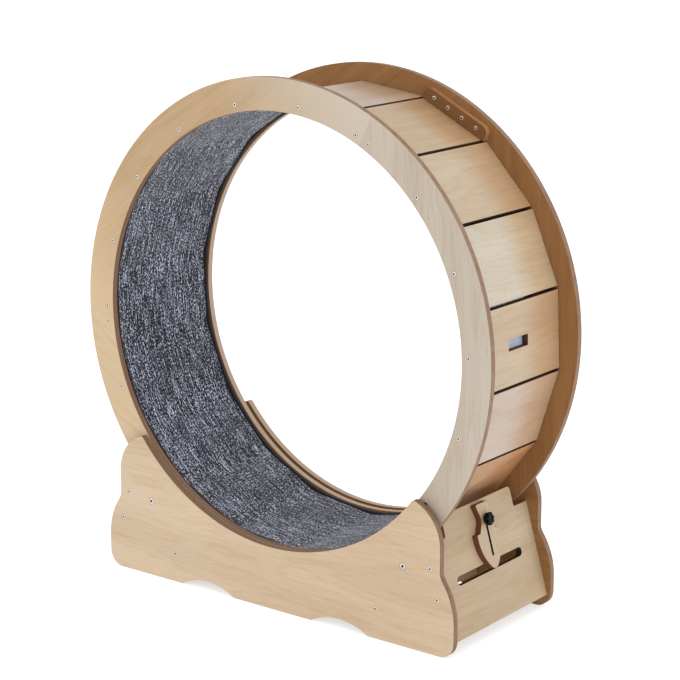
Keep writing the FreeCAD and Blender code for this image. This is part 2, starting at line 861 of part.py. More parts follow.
def make_base_fasteners():
    height = size("axle_height").number
    face = PANEL_OUTER.number + size("head_stand").number
    screw = make_screw_pattern("base_screw_pattern", size("base_screw_head"),
                               size("base_screw_radius"), size("base_screw_length"), SCREW_FLATS)
    groups = []
    for name, back, sign in (("front", False, -1), ("rear", True, 1)):
        places = [facing(x.number, sign * face, height + z.number, back)
                  for x, z in end_screw_places() + rail_screw_places()]
        groups.append(make_group("base_screws_" + name, screw, places))

    # one stub axle per roller: a bolt, a spacer against the panel and a lock nut inside
    corners = [(side, back) for side in (1, -1) for back in (False, True)]
    reach = size("roller_reach").number
    level = height - size("roller_drop").number
    bearing_near = HALF_DRUM + PLY / 2 + size("bearing_width") / 2
    bearing_far = HALF_DRUM + PLY / 2 - size("bearing_width") / 2
    radius = size("axle_radius")
    bore = radius + size("running_clearance")
    bolt = make_screw_pattern("axle_bolt_pattern", size("axle_head"), radius,
                              size("axle_length"), BOLT_FLATS)
    tube = size("spacer_radius")
    spacer_length = PANEL_INNER - bearing_near
    spacer = make_round_part("spacer_pattern", [(tube, tube, Size(0), spacer_length)],
                             BOLT_FLATS, Placement(), bore)
    hexagon = size("nut_corner_radius")
    nut = make_round_part("lock_nut_pattern", [(hexagon, hexagon, Size(0), size("nut_length"))],
                          NUT_FLATS, Placement(), bore)

    def along_axles(depth):
        """Places on the four roller axles, that far from the middle of the drum."""
        return [facing(side * reach, depth if back else -depth, level, back)
                for side, back in corners]

    groups.append(make_group("roller_axle_bolts", bolt, along_axles(face)))
    groups.append(make_group("roller_spacers", spacer, along_axles(PANEL_INNER.number)))
    groups.append(make_group("roller_lock_nuts", nut, along_axles(bearing_far.number)))
    return groups


# ---------------------------------------------------------------- assembly and files


def build():
    parts = []
    for number in range(SEAM_COUNT):
        middle = seam_angle(number) - SEGMENT_ANGLE / 2
        front = wheel_placement(middle, -HALF_DRUM.number)
        rear = wheel_placement(middle, HALF_DRUM.number, flip=True)
        parts.append(make_ring_segment(f"front_ring_segment_{number + 1}", front))
        parts.append(make_ring_segment(f"rear_ring_segment_{number + 1}", rear))
        plate_face = HALF_DRUM.number
        front = wheel_placement(seam_angle(number), -plate_face, flip=True)
        rear = wheel_placement(seam_angle(number), plate_face)
        parts.append(make_splice_plate(f"front_splice_plate_{number + 1}", front))
        parts.append(make_splice_plate(f"rear_splice_plate_{number + 1}", rear))
    for number in range(1, BOARD_COUNT + 1):
        parts.append(make_running_board(number))
    parts.append(make_carpet())

    height = size("axle_height").number
    front = Placement(Vector(0, -PANEL_INNER.number, height), Rotation())
    rear = Placement(Vector(0, PANEL_INNER.number, height), Rotation(Vector(0, 0, 1), 180))
    parts.append(make_side_panel("front_side_panel", front))
    parts.append(make_side_panel("rear_side_panel", rear))
    parts.append(make_end_board("right_end_board", True))
    parts.append(make_end_board("left_end_board", False))
    parts.append(make_cross_rail("right_cross_rail", 1))
    parts.append(make_cross_rail("left_cross_rail", -1))
    for side in (1, -1):
        for face in (-1, 1):
            parts += make_roller(side, face)
    parts.append(make_brake_plate())
    parts += make_brake_fittings()
    parts += make_drum_screws()
    parts += make_base_fasteners()
    return parts


def check(parts):
    for item in doc.Objects:
        if "Invalid" in item.State or "Error" in item.State:
            raise RuntimeError(f"{item.Label} did not build: {item.State}")
    for part in parts:
        shape = part.Shape
        if shape.isNull() or not shape.isValid() or not shape.Solids:
            raise RuntimeError(f"{part.Label} has no sound shape")


parts = build()
doc.recompute()
check(parts)
os.makedirs("parts", exist_ok=True)
for part in parts:
    part.Shape.exportStep(f"parts/{part.Label}.step")
print(len(parts), "parts written")
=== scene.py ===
import json
import math

import bmesh
import bpy
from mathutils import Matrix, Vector


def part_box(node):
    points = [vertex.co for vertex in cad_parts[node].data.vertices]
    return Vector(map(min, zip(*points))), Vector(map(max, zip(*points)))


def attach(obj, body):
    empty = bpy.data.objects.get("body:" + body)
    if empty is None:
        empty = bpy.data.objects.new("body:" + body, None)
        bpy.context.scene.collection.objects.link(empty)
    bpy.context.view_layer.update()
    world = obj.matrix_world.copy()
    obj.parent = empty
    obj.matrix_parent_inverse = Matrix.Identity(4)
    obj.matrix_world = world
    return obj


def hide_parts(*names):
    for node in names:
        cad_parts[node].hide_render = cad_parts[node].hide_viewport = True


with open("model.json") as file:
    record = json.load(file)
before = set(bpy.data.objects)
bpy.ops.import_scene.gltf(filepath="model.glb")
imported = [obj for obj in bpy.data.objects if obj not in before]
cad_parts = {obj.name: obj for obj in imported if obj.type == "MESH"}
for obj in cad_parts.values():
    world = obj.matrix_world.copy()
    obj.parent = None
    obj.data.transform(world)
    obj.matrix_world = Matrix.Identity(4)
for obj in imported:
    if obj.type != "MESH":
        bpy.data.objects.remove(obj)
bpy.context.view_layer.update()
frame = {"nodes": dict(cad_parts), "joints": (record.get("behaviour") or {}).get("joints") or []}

# The looks of a cat exercise wheel: light lacquered boards with brown cut edges, a heather grey
# carpet mat with dark overlocked edges, and small nickel-plated screws. Some colours are painted
# light and shade: darkened edges, corners and slots, a shadow ring round each screw head, the
# mat's dark edges and backing, and lighter rims at the rear. Lengths are metres, and the
# materials' object coordinates are the places of the wheel at rest.

# ---------------------------------------------------------------- places and directions

JOINTS = {joint["name"]: joint for joint in frame["joints"]}
AXLE = Vector(JOINTS["wheel_spin"]["pos_m"])
BOARD_COUNT = 18
BOARD_PITCH = 360.0 / BOARD_COUNT
FIRST_BOARD = 2.7               # degrees above the horizontal
SEGMENT_COUNT = 3
SEGMENT_ANGLE = 360.0 / SEGMENT_COUNT
LEAN = 16.2                     # degrees that the end boards lean inwards
HAND_SLOT_DROP = 0.481          # down the end boards from the wheel's axis
BRAKE_SLOT_DROP = 0.428         # the middle of the brake plate's slot
RIM_REACH = 0.3965              # just over the radius of the rings' bore and the saddles
RUNNING_BOARDS = [f"running_board_{n:02d}" for n in range(1, BOARD_COUNT + 1)]

RIGHT = Vector((1.0, 0.0, 0.0))
FRONT_OUT = Vector((0.0, -1.0, 0.0))
REAR_OUT = Vector((0.0, 1.0, 0.0))
FACES = {"front": FRONT_OUT, "rear": REAR_OUT}


def radial(degrees):
    """The direction out from the wheel's axis at an angle above +X."""
    angle = math.radians(degrees)
    return Vector((math.cos(angle), 0.0, math.sin(angle)))


def tangent(degrees):
    return radial(degrees + 90.0)


def end_frame(side):
    """Out of, across and up an end board, side +1 at the right and -1 at the left."""
    lean = math.radians(LEAN)
    out = Vector((side * math.cos(lean), 0.0, math.sin(lean)))
    up = Vector((-side * math.sin(lean), 0.0, math.cos(lean)))
    return out, REAR_OUT, up


# ---------------------------------------------------------------- colours
# All of them are 0 to 255 display values. A pair is a light and a dark tone of one surface.

TONES = {
    "tan": ((180, 154, 118), (167, 140, 103)),
    "pale": ((181, 171, 158), (171, 159, 143)),
    "cream": ((197, 176, 145), (186, 162, 129)),
    "rosy": ((190, 176, 165), (178, 163, 150)),
    "dusky": ((177, 165, 152), (166, 152, 138)),
    "silver": ((190, 182, 165), (180, 170, 151)),
    "brown": ((195, 160, 127), (180, 145, 111)),
    "honey": ((187, 171, 149), (176, 158, 134)),
    "panel": ((198, 178, 152), (186, 164, 137)),
    "shaded": ((181, 163, 137), (170, 150, 123)),
}
RING_TONES = ("pale", "tan", "cream")
BOARD_TONES = 2 * ("honey", "silver", "honey", "shaded", "dusky", "honey") + (
    "honey", "silver", "honey", "shaded", "brown", "rosy")

RAW_FACE = ((148, 105, 60), (130, 90, 47))      # the uncoated side of the sheet
RAW_DARK = ((124, 82, 40), (108, 69, 30))
CUT_EDGE = ((146, 118, 97), (114, 85, 65))
# laser-browned cut edges darkened with painted shade: the panels' saddles under the wheel and the
# end boards' edges
SHADED_CUT_EDGE = ((136, 107, 85), (104, 76, 56))
GOLDEN_EDGE = ((158, 114, 72), (132, 92, 54))
SCORCHED_AND_SHADED_EDGE = ((80, 50, 33), (50, 30, 19))         # edges that the laser browned, painted nearly black also as the shade in the narrow gaps between the boards
# brown edges, made dark enough that the notch under the brake plate's step shows as a dot of
# painted shade
UMBER = ((110, 62, 34), (78, 40, 20))
RIM_LIGHT_AND_SHADE = {                                        # the edges nearest to the wheel's axis: darker at the front as painted shade under the wheel, paler at the rear as painted light from the front
    "front": ((126, 94, 70), (100, 70, 49)),
    "rear": ((190, 167, 147), (172, 148, 128)),
}
# black painted shade, for corners and for the walls of slots
PAINTED_SHADE_BLACK = (30, 19, 13)
CREAM = (194, 168, 134)
IVORY = (182, 170, 154)
WHITE = (1.0, 1.0, 1.0, 1.0)                    # linear


def linear(red, green, blue):
    """A display colour as the linear colour that shaders take."""
    def one(value):
        value /= 255.0
        return value / 12.92 if value <= 0.04045 else ((value + 0.055) / 1.055) ** 2.4
    return (one(red), one(green), one(blue), 1.0)


# ---------------------------------------------------------------- node trees


class Graph:
    """A material's node tree, with one short call for each kind of node."""

    def __init__(self, name):
        self.material = bpy.data.materials.new(name)
        self.material.use_nodes = True
        self.tree = self.material.node_tree
        self.tree.nodes.clear()

    def add(self, kind, **settings):
        node = self.tree.nodes.new(kind)
        for key, value in settings.items():
            setattr(node, key, value)
        return node

    def feed(self, socket, value):
        """Link an output to a socket, or set a constant on it."""
        if isinstance(value, bpy.types.NodeSocket):
            self.tree.links.new(value, socket)
        else:
            socket.default_value = value

    def place(self):
        return self.add("ShaderNodeTexCoord").outputs["Object"]

    def normal(self):
        return self.add("ShaderNodeTexCoord").outputs["Normal"]

    def math(self, operation, first, second=0.0):
        node = self.add("ShaderNodeMath", operation=operation)
        self.feed(node.inputs[0], first)
        self.feed(node.inputs[1], second)
        return node.outputs[0]

    def plus(self, first, second):
        return self.math("ADD", first, second)

    def minus(self, first, second):
        return self.math("SUBTRACT", first, second)

    def times(self, first, second):
        return self.math("MULTIPLY", first, second)

    def distance(self, first, second):
        return self.math("ABSOLUTE", self.minus(first, second))

    def dot(self, vector, direction):
        node = self.add("ShaderNodeVectorMath", operation="DOT_PRODUCT")
        self.feed(node.inputs[0], vector)
        self.feed(node.inputs[1], tuple(direction))
        return node.outputs["Value"]

    def join(self, x, y, z):
        node = self.add("ShaderNodeCombineXYZ")
        for socket, value in zip(node.inputs, (x, y, z)):
            self.feed(socket, value)
        return node.outputs[0]

    def split(self, vector):
        node = self.add("ShaderNodeSeparateXYZ")
        self.feed(node.inputs[0], vector)
        return node.outputs

    def reach(self, x, height):
        """The distance from the wheel's axis."""
        return self.math("SQRT", self.plus(self.times(x, x), self.times(height, height)))

    def noise(self, axes, factors, shift=0.0, detail=2.0, rough=0.5, distortion=0.0):
        """Noise stretched along three axes: each factor is how many blobs a metre of it has."""
        parts = [self.times(axis, factor) for axis, factor in zip(axes, factors)]
        if shift:
            parts[2] = self.plus(parts[2], shift)
        node = self.add("ShaderNodeTexNoise")
        self.feed(node.inputs["Vector"], self.join(*parts))
        node.inputs["Scale"].default_value = 1.0
        node.inputs["Detail"].default_value = detail
        node.inputs["Roughness"].default_value = rough
        node.inputs["Distortion"].default_value = distortion
        return node.outputs["Fac"]

    def span(self, value, low, high, start=0.0, end=1.0):
        """Map a value's range to another, held at the ends."""
        node = self.add("ShaderNodeMapRange", clamp=True)
        for socket, number in zip(node.inputs, (value, low, high, start, end)):
            self.feed(socket, number)
        return node.outputs[0]

    def mix(self, factor, first, second, mode="MIX"):
        node = self.add("ShaderNodeMix", data_type="RGBA", blend_type=mode)
        self.feed(node.inputs[0], factor)
        self.feed(node.inputs[6], first)
        self.feed(node.inputs[7], second)
        return node.outputs[2]

    def two_tones(self, factor, pair):
        light, dark = pair
        return self.mix(factor, linear(*light), linear(*dark))

    def stain(self, colour, amount, low, high, strength, tint):
        """Multiply a colour by a tint, up to the strength, as the amount goes from low to high."""
        factor = self.span(amount, low, high, 0.0, strength)
        return self.mix(factor, colour, linear(*tint), "MULTIPLY")

    def ramp(self, value, stops):
        node = self.add("ShaderNodeValToRGB")
        self.feed(node.inputs[0], value)
        elements = node.color_ramp.elements
        while len(elements) < len(stops):
            elements.new(0.5)
        for element, (position, colour) in zip(elements, stops):
            element.position = position
            element.color = linear(*colour)
        return node.outputs[0]

    def finish(self, colour, roughness, height=None, depth=0.0002, **sockets):
        """Close the tree: depth is how far the relief of the bump goes."""
        shader = self.add("ShaderNodeBsdfPrincipled")
        self.feed(shader.inputs["Base Color"], colour)
        self.feed(shader.inputs["Roughness"], roughness)
        for name, value in sockets.items():
            shader.inputs[name.replace("_", " ")].default_value = value
        if height is not None:
            bump = self.add("ShaderNodeBump")
            bump.inputs["Strength"].default_value = 1.0
            bump.inputs["Distance"].default_value = depth
            self.feed(bump.inputs["Height"], height)
            self.feed(shader.inputs["Normal"], bump.outputs[0])
        output = self.add("ShaderNodeOutputMaterial")
        self.tree.links.new(shader.outputs[0], output.inputs[0])
        return self.material


# ---------------------------------------------------------------- wood

# Each kind of noise in the wood: blobs per metre along the grain, across it and through the
# board, what is added to the board's seed, and then detail, roughness and distortion.
WOOD_NOISE = {
    "bands": ((1.6, 17.0, 5.0), 0.0, 3.0, 0.55, 0.4),
    "figure": ((3.5, 60.0, 10.0), 3.0, 4.0, 0.6, 0.8),
    "fibres": ((22.0, 620.0, 90.0), 7.0, 2.0, 0.6, 0.0),
    "flecks": ((75.0, 900.0, 120.0), 11.0, 1.0, 0.5, 0.0),
    "patches": ((2.2, 3.0, 3.0), 17.0, 1.0, 0.5, 0.0),
    "plies": ((6.0, 6.0, 620.0), 23.0, 1.0, 0.5, 0.0),
    "scorch": ((60.0, 60.0, 25.0), 29.0, 3.0, 0.6, 0.0),
}
RINGS_PER_BAND = 60.0           # how often the growth lines come back within the bands
# how softly the painted black shade in the slots fades out
SLOT_SHADE_BLUR = 0.001
FACING_START = 0.68             # the cosine from which a face counts as the sheet's side
FACING_FULL = 0.8


def veneer_colour(graph, place, noise, tone, shades):
    """The coated side: growth bands and lines, fibres, flecks and cloudy patches."""
    light, dark = (linear(*value) for value in TONES[tone])
    veneer = graph.mix(graph.span(noise["bands"], 0.32, 0.68), light, dark)
    veneer = graph.mix(graph.span(noise["figure"], 0.5, 0.78, 0.0, 0.3), veneer, dark)
    rings = graph.math("SINE", graph.times(noise["bands"], RINGS_PER_BAND))
    veneer = graph.stain(veneer, rings, 0.35, 1.0, 0.32, (240, 226, 208))
    veneer = graph.stain(veneer, noise["fibres"], 0.45, 0.75, 0.5, (238, 229, 216))
    veneer = graph.stain(veneer, noise["flecks"], 0.62, 0.72, 0.22, (214, 190, 160))
    veneer = graph.stain(veneer, noise["patches"], 0.35, 0.7, 0.55, (248, 240, 232))
    for direction, low, high, strength, colour, mode in shades:
        reach = graph.span(graph.dot(place, direction), low, high, 0.0, strength)
        veneer = graph.mix(reach, veneer, linear(*colour), mode)
    return veneer


def raw_colour(graph, noise, raw):
    """The uncoated side."""
    colour = graph.two_tones(graph.span(noise["figure"], 0.35, 0.7), raw)
    return graph.stain(colour, noise["fibres"], 0.4, 0.7, 0.6, (232, 220, 205))


def edge_colour(graph, place, noise, edge, rim, burnt):
    """The cut edges: plies side by side, browned by the laser, with painted light and shade on the
    rims nearest to the axis and black painted shade inside the slots.
    """
    plies = graph.span(noise["plies"], 0.38, 0.62, 0.0, 0.65)
    cut = graph.two_tones(plies, edge)
    cut = graph.stain(cut, noise["scorch"], 0.45, 0.75, 0.5, (196, 176, 158))
    # painted light and shade: the rims nearest to the axis take their own lit or shaded tones
    if rim is not None:
        x, _, z = graph.split(place)
        reach = graph.reach(x, graph.minus(z, AXLE.z))
        painted_rim_colour = graph.two_tones(plies, rim)
        cut = graph.mix(graph.math("LESS_THAN", reach, RIM_REACH), cut, painted_rim_colour)
    # painted shade: the cut edges inside the slots go black
    if burnt:
        slot_shadow = 1.0
        for direction, middle, half in burnt:
            away = graph.distance(graph.dot(place, direction), middle)
            slot_shadow = graph.times(slot_shadow, graph.span(away, half, half + SLOT_SHADE_BLUR, 1.0, 0.0))
        cut = graph.mix(slot_shadow, cut, linear(*PAINTED_SHADE_BLACK))
    return cut


def wood(name, out, along, tone, seed, both=False, shades=(), edge=CUT_EDGE, raw=RAW_FACE,
         burnt=(), rim=None):
    """Lacquered board. out is the coated side's direction and along is the grain's.

    both coats the two sides. Each of shades is (direction, low, high, strength, colour, mode):
    from low to high along the direction, the coated side takes on the colour by that much.
    Each of the slot shades is (direction, middle, half): cut edges that lie so near to the middle
    along all of these directions are painted black, as the shade inside a slot. The rim tones
    are the pair of tones of the cut edges that are nearer to the wheel's axis than RIM_REACH,
    with painted shade at the front and painted light at the rear.
    """
    graph = Graph(name)
    place = graph.place()
    across = Vector(out).cross(Vector(along)).normalized()
    axes = [graph.dot(place, along), graph.dot(place, across), graph.dot(place, out)]
    noise = {kind: graph.noise(axes, factors, seed + shift, *settings)
             for kind, (factors, shift, *settings) in WOOD_NOISE.items()}
    veneer = veneer_colour(graph, place, noise, tone, shades)
    inside = raw_colour(graph, noise, raw)
    cut = edge_colour(graph, place, noise, edge, rim, burnt)

    facing = graph.dot(graph.normal(), out)
    if both:
        facing = graph.math("ABSOLUTE", facing)
    coated = graph.span(facing, FACING_START, FACING_FULL)
    behind = graph.span(facing, -FACING_START, -FACING_FULL)
    colour = graph.mix(coated, graph.mix(behind, cut, inside), veneer)

    relief = graph.plus(graph.times(noise["fibres"], 0.6), graph.times(noise["flecks"], 0.8))
    gloss = graph.span(noise["fibres"], 0.2, 0.8, 0.40, 0.52)
    roughness = graph.span(coated, 0.0, 1.0, 0.72, gloss)
    return graph.finish(colour, roughness, relief, 0.00012, Specular_IOR_Level=0.42)


# ---------------------------------------------------------------- metal and plastic


def metal(name, colour, roughness, speckle):
    """Plated or polished metal with fine turning marks and slight staining."""
    graph = Graph(name)
    axes = graph.split(graph.place())
    cloud = graph.noise(axes, (420.0, 420.0, 420.0), detail=3.0, rough=0.6)
    marks = graph.noise(axes, (900.0, 5200.0, 900.0))
    stained = [value * speckle for value in colour]
    tone = graph.two_tones(graph.span(cloud, 0.35, 0.7), (colour, stained))
    gloss = graph.span(marks, 0.3, 0.7, roughness * 0.8, roughness * 1.3)
    return graph.finish(tone, gloss, marks, 0.00003, Metallic=1.0)


def plastic(name, light, dark, roughness, grain, depth, shine=0.5):
    """Moulded plastic with a fine spark-eroded texture."""
    graph = Graph(name)
    axes = graph.split(graph.place())
    cloud = graph.noise(axes, (130.0, 130.0, 130.0), detail=3.0, rough=0.6)
    skin = graph.noise(axes, (grain, grain, grain), rough=0.6)
    tone = graph.two_tones(graph.span(cloud, 0.3, 0.7), (light, dark))
    gloss = graph.span(skin, 0.3, 0.7, roughness - 0.06, roughness + 0.08)
    return graph.finish(tone, gloss, skin, depth, Specular_IOR_Level=shine)


# ---------------------------------------------------------------- carpet materials

MAT_RADIUS = 0.4                # about the pile's, to turn an angle into a length
TAPE_MIDDLE = 4.5               # degrees from the middle of board 1 to the tape's middle
TAPE_HALF = 7.5                 # degrees
TAPE_END = 0.042                # how far it runs to the back
STITCHES = 2200.0               # radians of the stitches' wave in a metre
STITCH_SLANT = 0.35
YARN = [
    # the heather's shades, by where they start in the mixed noise
    (0.540, (8, 8, 14)),
    (0.587, (29, 29, 40)),
    (0.624, (71, 73, 87)),
    (0.657, (129, 134, 152)),
    (0.690, (212, 217, 231)),
]
TAPE_CLOTH = ((206, 212, 228), (158, 166, 188))
# dark backing: painted shade where it shows through the gaps between the boards
SHADED_BACKING = ((34, 30, 30), (20, 17, 17))
# near-black thread that also stands in as painted shade in the corner between the mat and the
# rings
THREAD_AND_SHADE = ((16, 14, 18), (46, 42, 48))


def carpet_material():
    """Heather loop pile: dark and pale yarn in rows along the mat.

    Its backing is dark, as painted shade behind the gaps between the boards, with a pale tape over
    the mat's joint, behind the lock slot.
    """
    graph = Graph("heather_carpet")
    x, y, z = graph.split(graph.place())
    height = graph.minus(z, AXLE.z)
    angle = graph.math("ARCTAN2", height, x)
    axes = (graph.times(angle, MAT_RADIUS), y, graph.reach(x, height))
    tufts = graph.noise(axes, (230.0, 400.0, 60.0), rough=0.8)
    rows = graph.noise(axes, (22.0, 300.0, 20.0), 5.0, detail=1.0, rough=0.6)
    drift = graph.noise(axes, (9.0, 16.0, 9.0), 9.0)
    mixed = graph.plus(graph.times(tufts, 0.8), graph.times(rows, 0.32))
    mixed = graph.plus(mixed, graph.times(drift, 0.06))
    pile = graph.ramp(mixed, YARN)

    weave = graph.span(graph.noise(axes, (500.0, 500.0, 60.0), 13.0), 0.35, 0.65)
    from_tape = graph.distance(angle, math.radians(FIRST_BOARD + TAPE_MIDDLE))
    taped = graph.times(graph.math("LESS_THAN", from_tape, math.radians(TAPE_HALF)),
                        graph.math("LESS_THAN", y, TAPE_END))
    backing = graph.mix(taped, graph.two_tones(weave, SHADED_BACKING), graph.two_tones(weave, TAPE_CLOTH))

    normal = graph.split(graph.normal())
    outward = graph.plus(graph.times(normal[0], x), graph.times(normal[2], height))
    colour = graph.mix(graph.math("GREATER_THAN", outward, 0.1), pile, backing)
    return graph.finish(colour, 0.95, mixed, 0.0016, Specular_IOR_Level=0.1,
                        Sheen_Weight=0.25, Sheen_Roughness=0.5)


def binding_material():
    """Overlock thread: near-black stitches side by side over the mat's edge, which also stand in
    as painted shade in the corner between the mat and the rings.
    """
    graph = Graph("overlock_thread_and_shade")
    x, y, z = graph.split(graph.place())
    angle = graph.math("ARCTAN2", graph.minus(z, AXLE.z), x)
    lengthwise = graph.times(angle, MAT_RADIUS)
    slant = graph.plus(lengthwise, graph.times(y, STITCH_SLANT))
    wave = graph.math("SINE", graph.times(slant, STITCHES))
    fuzz = graph.noise((lengthwise, y, z), (900.0, 900.0, 300.0), rough=0.6)
    body = graph.plus(graph.times(wave, 0.35), fuzz)
    colour = graph.two_tones(graph.span(body, 0.2, 1.0), THREAD_AND_SHADE)
    return graph.finish(colour, 0.9, body, 0.0006, Specular_IOR_Level=0.15,
                        Sheen_Weight=0.2)


NICKEL = metal("nickel_plate", (222, 219, 212), 0.34, 0.80)
STEEL = metal("bearing_steel", (200, 202, 206), 0.18, 0.9)
BRASS = metal("turned_brass", (214, 178, 100), 0.26, 0.85)
BLACK = plastic("moulded_black", (8, 8, 10), (4, 4, 6), 0.18, 900.0, 0.00004, 0.10)
SOCKET_BLACK = plastic("socket_shadow", (12, 11, 10), (7, 6, 6), 0.8, 900.0, 0.00002, 0.05)
# painted shadow: the grey-brown ring round each screw head, in its countersink
HEAD_SHADOW_RING = plastic("countersink_shadow", (132, 116, 98), (108, 94, 78), 0.7, 900.0, 0.00002, 0.2)
NYLON = plastic("white_nylon", (232, 231, 224), (220, 218, 208), 0.5, 600.0, 0.00005)
BINDING = binding_material()

# ---------------------------------------------------------------- meshes


def new_piece(name, vertices, faces, body, slot, materials, sharp, marks=None):
    """A piece of the scene, with sharp edges from that many degrees on.

    marks gives each face's number in the list of materials.
    """
    mesh = bpy.data.meshes.new(name)
    mesh.from_pydata([tuple(v) for v in vertices], [], faces)
    mesh.update()
    if marks is not None:
        mesh.polygons.foreach_set("material_index", marks)
    shape = bmesh.new()
    shape.from_mesh(mesh)
    bmesh.ops.recalc_face_normals(shape, faces=shape.faces)
    shape.to_mesh(mesh)
    shape.free()
    mesh.shade_smooth()
    mesh.set_sharp_from_angle(angle=math.radians(sharp))
    for material in materials:
        mesh.materials.append(material)
    piece = bpy.data.objects.new(name, mesh)
    bpy.context.scene.collection.objects.link(piece)
    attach(piece, body)
    return piece


def solids_of(node):
    """The lowest and highest corner of each separate solid of a CAD node."""
    shape = bmesh.new()
    shape.from_mesh(frame["nodes"][node].data)
    bmesh.ops.remove_doubles(shape, verts=shape.verts, dist=1e-6)
    left = set(shape.verts)
    boxes = []
    while left:
        stack = [left.pop()]
        seen = []
        while stack:
            vertex = stack.pop()
            seen.append(vertex.co.copy())
            for edge in vertex.link_edges:
                other = edge.other_vert(vertex)
                if other in left:
                    left.remove(other)
                    stack.append(other)
        low = Vector([min(p[axis] for p in seen) for axis in range(3)])
        high = Vector([max(p[axis] for p in seen) for axis in range(3)])
        boxes.append((low, high))
    shape.free()
    boxes.sort(key=lambda box: (round(box[0].x, 5), round(box[0].z, 5)))
    return boxes


def lathe(profile, origin, out, turn, steps):
    """A closed shape about an axis through the origin, out of which it points.

    profile is a list of (radius, height, outline) from the top's middle on. outline is None for
    a circle, or a function that gives the reach from the radius and the angle.
    """
    side = out.orthogonal().normalized()
    other = out.cross(side)
    vertices = [origin + out * profile[0][1]]
    faces = []
    for radius, height, outline in profile[1:]:
        for step in range(steps):
            angle = 2 * math.pi * step / steps
            reach = outline(radius, angle) if outline else radius
            direction = side * math.cos(angle + turn) + other * math.sin(angle + turn)
            vertices.append(origin + direction * reach + out * height)
    rings = len(profile) - 1
    for step in range(steps):
        following = (step + 1) % steps
        faces.append((0, 1 + step, 1 + following))
        for ring in range(rings - 1):
            first = 1 + ring * steps
            second = first + steps
            faces.append((first + step, second + step, second + following, first + following))
    faces.append(tuple(1 + (rings - 1) * steps + step for step in range(steps)))
    return vertices, faces


def tube(section_at, around):
    """Join the rings of a closed section, given as (radius, y) at each angle in degrees."""
    vertices, faces = [], []
    for step in range(around):
        angle = 360.0 * step / around
        section = section_at(angle)
        for radius, y in section:
            vertices.append(AXLE + radial(angle) * radius + Vector((0.0, y, 0.0)))
    count = len(section)
    for step in range(around):
        first = step * count
        second = ((step + 1) % around) * count
        for index in range(count):
            following = (index + 1) % count
            faces.append((first + index, first + following, second + following, second + index))
    return vertices, faces


# ---------------------------------------------------------------- screws

# The groups of screws, and to which side along Y their heads look.
FACING = {
    "ring_screws_front": -1, "ring_screws_rear": 1,
    "splice_screws_front": 1, "splice_screws_rear": -1,
    "base_screws_front": -1, "base_screws_rear": 1,
}
SOCKET = 0.42                   # the hexagon socket, as a share of the head's radius
SOCKET_FLOOR = 0.0002           # under the head's rim
SOCKET_BEVEL = 0.00018
DOME = 0.00025                  # how far the head rises over its rim
# how far the painted shadow ring reaches round a screw head, as a share of its radius
SHADOW_RING_REACH = 1.16
SCREW_SHANK = 0.5               # radius and length of a screw, as shares of its head's radius
SCREW_LENGTH = 1.6
BOLT_SHANK = 0.003              # the same of the roller bolts, in metres
BOLT_LENGTH = 0.036
SCREW_STEPS = 24
SCREW_TURN = 0.7                # radians from one screw to the next
# The bands of a screw's profile, from its middle outwards: 0 nickel, 1 socket in painted shade, 2
# painted shadow ring round the head.
SCREW_BANDS = [1, 1, 0, 0, 0, 0, 2, 2, 2, 0]


def hexagon(apothem, angle):
    sixth = math.pi / 3
    return apothem / math.cos((angle % sixth) - sixth / 2)


def screw_profile(radius, shank, length):
    """A countersunk head with a hexagon socket and a ring of painted shadow round it, heights from
    its rim.

    The board under the head is solid, so the socket's floor stays just above its face.
    """
    socket = radius * SOCKET
    shadow_ring = radius * SHADOW_RING_REACH
    return [
        (0.0, -SOCKET_FLOOR, None),
        (socket, -SOCKET_FLOOR, hexagon),
        (socket, -0.00012 + DOME, hexagon),
        (socket + SOCKET_BEVEL, DOME, hexagon),
        (radius * 0.80, DOME * 0.75, None),
        (radius * 0.95, 0.0, None),
        (radius, -0.00022, None),
        (shadow_ring, -0.00026, None),
        (shadow_ring, -0.0006, None),
        (shank * 1.04, -radius * 0.75, None),
        (shank, -length, None),
    ]


def make_screws(node, body, shank=None, length=None):
    """The heads of a group of screws along Y, in the places that the CAD node gives."""
    vertices, faces, marks = [], [], []
    for index, (low, high) in enumerate(solids_of(node)):
        middle = (low + high) / 2
        radius = (high.x - low.x) / 2
        if FACING.get(node, middle.y) < 0:
            out, face = FRONT_OUT, low.y
        else:
            out, face = REAR_OUT, high.y
        profile = screw_profile(radius, shank or radius * SCREW_SHANK,
                                length or radius * SCREW_LENGTH)
        points, loops = lathe(profile, Vector((middle.x, face, middle.z)), out,
                              index * SCREW_TURN, SCREW_STEPS)
        start = len(vertices)
        vertices += points
        faces += [tuple(start + i for i in loop) for loop in loops]
        marks += SCREW_BANDS * SCREW_STEPS + [0]
    piece = new_piece(node + "_heads", vertices, faces, body, "nickel_steel",
                      [NICKEL, SOCKET_BLACK, HEAD_SHADOW_RING], 35.0, marks)
    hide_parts(node)


# ---------------------------------------------------------------- carpet mat

CARPET_HALF = 0.1275            # half the pile's width
CARPET_FLAT = 0.3989            # from the axis to the pile of a flat
PILE_DROP = 0.0003              # how much lower the pile lies than the solid's face
PILE_LIMIT = 0.4042             # the pile's greatest distance from the axis, at the corners
CARPET_BACK = 0.4037
BACK_LIMIT = 0.4075
EDGE_CURL = 0.0012              # how far the pile's edges turn down
EDGE_CURL_WIDTH = 0.004
# the thread stands up against the ring, as a dark strip over the shaded wedge between the ring's
# bore and the pile
BINDING_PROUD = 0.0024          # how far the edge's thread stands out of the pile
BINDING_LIMIT = 0.3986
BINDING_HALF = 0.0042           # half the thread's width
BINDING_INSET = 0.0010
BINDING_SIDES = 12
CARPET_STEPS = 26               # along one board
CARPET_ROWS = 60                # across the mat
CORNER_SHARPNESS = 900.0


